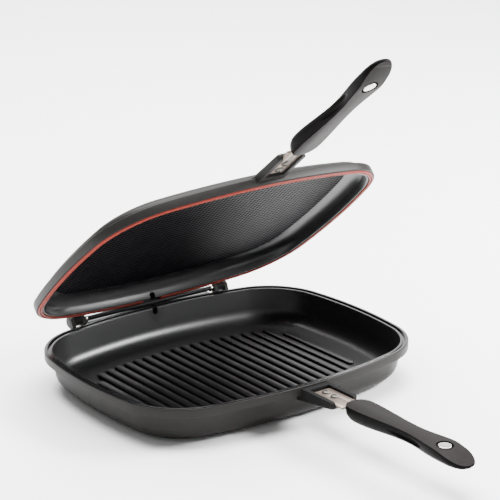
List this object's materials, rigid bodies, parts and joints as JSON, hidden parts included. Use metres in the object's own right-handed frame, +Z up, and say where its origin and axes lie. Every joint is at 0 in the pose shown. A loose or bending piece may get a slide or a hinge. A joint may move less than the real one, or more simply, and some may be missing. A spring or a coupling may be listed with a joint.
{
  "type": "double sided flip pan",
  "caption": "Hinged double sided frying pan: deep ribbed lower pan and shallow lid pan with a red silicone seal, pin hinges and long grips with magnets.",
  "frame": {"origin": "centre of the lower pan's flat base", "axes": "+Z up, -Y along the handles away from the pan, +Y to the hinges, +X along the hinge line"},
  "size_m": [0.332, 0.4796, 0.3524],
  "materials": {
    "pan_casting": "satin grey outside, dark non-stick coating inside",
    "seal": "soft brick red silicone",
    "grip": "dark phenolic moulding",
    "strap": "brushed stainless sheet",
    "screw": "zinc plated",
    "magnet": "nickel plated",
    "pin": "polished"
  },
  "bodies": {
    "lower": {"lower_pan": "pan_casting", "lower_strap": "strap", "lower_strap_screw_1": "screw", "lower_strap_screw_2": "screw", "lower_grip": "grip", "lower_grip_screw": "screw", "lower_magnet": "magnet", "hinge_pin_left": "pin", "hinge_pin_right": "pin", "hinge_pin_cap_left": "pin", "hinge_pin_cap_right": "pin"},
    "upper": {"upper_pan": "pan_casting", "silicone_seal": "seal", "upper_strap": "strap", "upper_strap_screw_1": "screw", "upper_strap_screw_2": "screw", "upper_grip": "grip", "upper_grip_screw": "screw", "upper_magnet": "magnet"}
  },
  "joints": [
    {"name": "lid_hinge", "type": "hinge", "parent": "lower", "child": "upper", "pos_m": [0, 0.1352, 0.0399], "axis": [-1, 0, 0], "range_deg": [-40, 70]}
  ]
}
